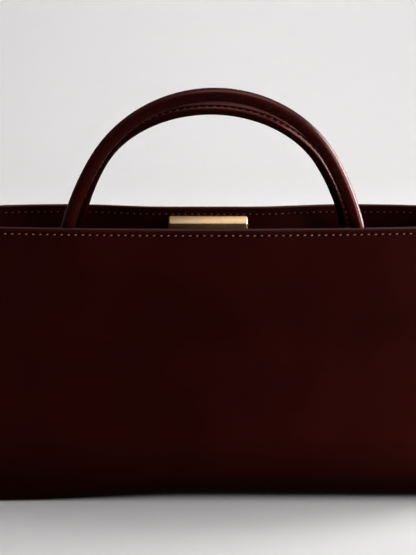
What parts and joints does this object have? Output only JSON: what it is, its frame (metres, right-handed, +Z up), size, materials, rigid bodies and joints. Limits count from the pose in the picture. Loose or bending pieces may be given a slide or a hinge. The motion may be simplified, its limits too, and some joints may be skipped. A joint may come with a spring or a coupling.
{
  "type": "satchel bag",
  "caption": "Structured top-handle satchel in leather: walls rolled under a flat base, folded gussets, open mouth, rolled arched handles and a magnetic bar clasp inside the rim.",
  "frame": {"origin": "middle of the footprint, on the surface that the bag stands on", "axes": "+X along the width (to the right seen from the front), +Y from front wall to rear wall, +Z up"},
  "size_m": [0.3402, 0.12, 0.2669],
  "materials": {
    "shell_leather": "smooth polished calf leather, dark burgundy, with painted edges",
    "facing_leather": "smooth burgundy leather, slightly duller than the outside",
    "handle_leather": "rolled and polished burgundy leather, glossy",
    "lining_cloth": "dark brown-burgundy suede-like lining",
    "stiffener_board": "bonded leather board",
    "base_board": "rigid fibre board",
    "handle_cord": "twisted cotton cord",
    "brass": "satin brass, brushed along its length",
    "magnet": "nickel-plated magnet",
    "steel": "plain steel"
  },
  "bodies": {
    "bag_body": {"front_panel": "shell_leather", "rear_panel": "shell_leather", "base_panel": "shell_leather", "left_gusset": "shell_leather", "right_gusset": "shell_leather", "front_facing": "facing_leather", "rear_facing": "facing_leather", "front_stiffener": "stiffener_board", "rear_stiffener": "stiffener_board", "base_board": "base_board", "front_lining": "lining_cloth", "rear_lining": "lining_cloth", "base_lining": "lining_cloth", "left_gusset_lining": "lining_cloth", "right_gusset_lining": "lining_cloth", "front_left_handle_tab": "handle_leather", "front_right_handle_tab": "handle_leather", "rear_left_handle_tab": "handle_leather", "rear_right_handle_tab": "handle_leather", "front_handle_rivets": "brass", "rear_handle_rivets": "brass", "clasp_bar": "brass", "catch_plate": "brass", "clasp_magnet": "magnet", "catch_magnet": "magnet", "clasp_backplate": "steel", "catch_backplate": "steel", "clasp_screws": "steel", "catch_screws": "steel"},
    "front_handle": {"front_handle_cover": "handle_leather", "front_handle_core": "handle_cord"},
    "rear_handle": {"rear_handle_cover": "handle_leather", "rear_handle_core": "handle_cord"}
  },
  "joints": [
    {"name": "front_handle_tilt", "type": "hinge", "parent": "bag_body", "child": "front_handle", "pos_m": [0, -0.04218, 0.1565], "axis": [-1, 0, 0], "range_deg": [-5, 12]},
    {"name": "rear_handle_tilt", "type": "hinge", "parent": "bag_body", "child": "rear_handle", "pos_m": [0, 0.0448, 0.1565], "axis": [1, 0, 0], "range_deg": [-33, 4]}
  ]
}
